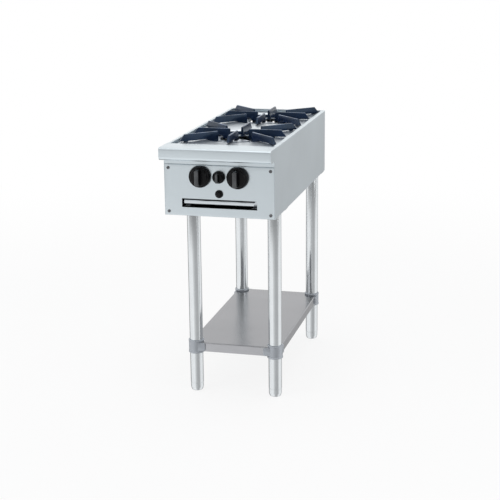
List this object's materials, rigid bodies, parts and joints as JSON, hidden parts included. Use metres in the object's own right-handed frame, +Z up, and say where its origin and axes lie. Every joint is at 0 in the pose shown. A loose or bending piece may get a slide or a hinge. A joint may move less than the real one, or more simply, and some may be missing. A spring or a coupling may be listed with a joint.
{
  "type": "gas range",
  "caption": "Narrow open-top gas range on a tube-leg stand with undershelf, bladed lift-off grates, bar knobs, press igniter and a sliding drip tray.",
  "frame": {"origin": "on the floor, below the middle of the overall box", "axes": "+Z up, -Y towards the cook (control panel side), +X to the cook's right"},
  "size_m": [0.305, 0.751, 0.759],
  "materials": {
    "brushed_sheet": "vertical satin grain",
    "polished_sheet": "bright polished",
    "bright_tube": "bright polished tube",
    "enamelled_iron": "dark glossy enamel on cast iron",
    "bare_casting": "bare grey casting",
    "burner_casting": "cast, fine blasted",
    "zinc_plate": "zinc plated",
    "gas_pipe": "black pipe",
    "valve_brass": "turned brass",
    "thin_tube": "drawn tube",
    "knob_black": "moulded phenolic",
    "igniter_black": "moulded",
    "ceramic_white": "glazed",
    "lead_rubber": "silicone sleeve",
    "clamp_casting": "grey die casting",
    "screw_steel": "machined"
  },
  "bodies": {
    "range": {"side_panel_right": "brushed_sheet", "side_panel_left": "brushed_sheet", "back_panel": "brushed_sheet", "base_pan": "zinc_plate", "front_control_panel": "brushed_sheet", "front_hood": "brushed_sheet", "burner_deck": "polished_sheet", "panel_screws": "screw_steel", "gas_manifold": "gas_pipe", "gas_inlet_pipe": "gas_pipe", "valve_left": "valve_brass", "valve_right": "valve_brass", "pilot_valve": "valve_brass", "injectors": "valve_brass", "pilot_tube_front": "thin_tube", "pilot_tube_rear": "thin_tube", "pilot_burner_front": "thin_tube", "pilot_burner_rear": "thin_tube", "burner_body_front": "bare_casting", "burner_body_rear": "bare_casting", "burner_head_front": "burner_casting", "burner_head_rear": "burner_casting", "burner_rail_front": "zinc_plate", "burner_rail_rear": "zinc_plate", "igniter_body": "igniter_black", "igniter_nut": "igniter_black", "ignition_electrode": "ceramic_white", "ignition_lead": "lead_rubber", "tray_runner_left": "zinc_plate", "tray_runner_right": "zinc_plate", "socket_bolts": "screw_steel", "foot_inserts": "zinc_plate", "undershelf": "polished_sheet", "clamp_screws": "screw_steel", "leg_front_left": "bright_tube", "leg_mount_front_left": "zinc_plate", "shelf_clamp_front_left": "clamp_casting", "leg_front_right": "bright_tube", "leg_mount_front_right": "zinc_plate", "shelf_clamp_front_right": "clamp_casting", "leg_rear_left": "bright_tube", "leg_mount_rear_left": "zinc_plate", "shelf_clamp_rear_left": "clamp_casting", "leg_rear_right": "bright_tube", "leg_mount_rear_right": "zinc_plate", "shelf_clamp_rear_right": "clamp_casting"},
    "left_control": {"knob_left": "knob_black", "valve_stem_left": "valve_brass"},
    "right_control": {"knob_right": "knob_black", "valve_stem_right": "valve_brass"},
    "pilot_control": {"pilot_knob": "knob_black", "pilot_valve_stem": "valve_brass"},
    "spark_button": {"igniter_button": "igniter_black"},
    "tray": {"drip_tray": "polished_sheet"},
    "front_grate": {"grate_front": "enamelled_iron"},
    "rear_grate": {"grate_rear": "enamelled_iron"},
    "front_left_foot": {"foot_front_left": "bright_tube"},
    "front_right_foot": {"foot_front_right": "bright_tube"},
    "rear_left_foot": {"foot_rear_left": "bright_tube"},
    "rear_right_foot": {"foot_rear_right": "bright_tube"}
  },
  "joints": [
    {"name": "knob_left_turn", "type": "hinge", "parent": "range", "child": "left_control", "pos_m": [-0.052, -0.3315, 0.6645], "axis": [0, -1, 0], "range_deg": [0, 180]},
    {"name": "knob_right_turn", "type": "hinge", "parent": "range", "child": "right_control", "pos_m": [0.052, -0.3315, 0.6645], "axis": [0, -1, 0], "range_deg": [0, 180]},
    {"name": "pilot_knob_turn", "type": "hinge", "parent": "range", "child": "pilot_control", "pos_m": [0, -0.3315, 0.6645], "axis": [0, -1, 0], "range_deg": [0, 90]},
    {"name": "igniter_press", "type": "slide", "parent": "range", "child": "spark_button", "axis": [0, 1, 0], "range_m": [0, 0.004], "stiffness_N_per_m": 900, "springref_m": -0.003},
    {"name": "drip_tray_slide", "type": "slide", "parent": "range", "child": "tray", "axis": [0, -1, 0], "range_m": [0, 0.45]},
    {"name": "grate_front_lift", "type": "slide", "parent": "range", "child": "front_grate", "axis": [0, 0, 1], "range_m": [0, 0.08]},
    {"name": "grate_rear_lift", "type": "slide", "parent": "range", "child": "rear_grate", "axis": [0, 0, 1], "range_m": [0, 0.08]},
    {"name": "foot_front_left_level", "type": "slide", "parent": "range", "child": "front_left_foot", "axis": [0, 0, -1], "range_m": [0, 0.02]},
    {"name": "foot_front_right_level", "type": "slide", "parent": "range", "child": "front_right_foot", "axis": [0, 0, -1], "range_m": [0, 0.02]},
    {"name": "foot_rear_left_level", "type": "slide", "parent": "range", "child": "rear_left_foot", "axis": [0, 0, -1], "range_m": [0, 0.02]},
    {"name": "foot_rear_right_level", "type": "slide", "parent": "range", "child": "rear_right_foot", "axis": [0, 0, -1], "range_m": [0, 0.02]}
  ]
}
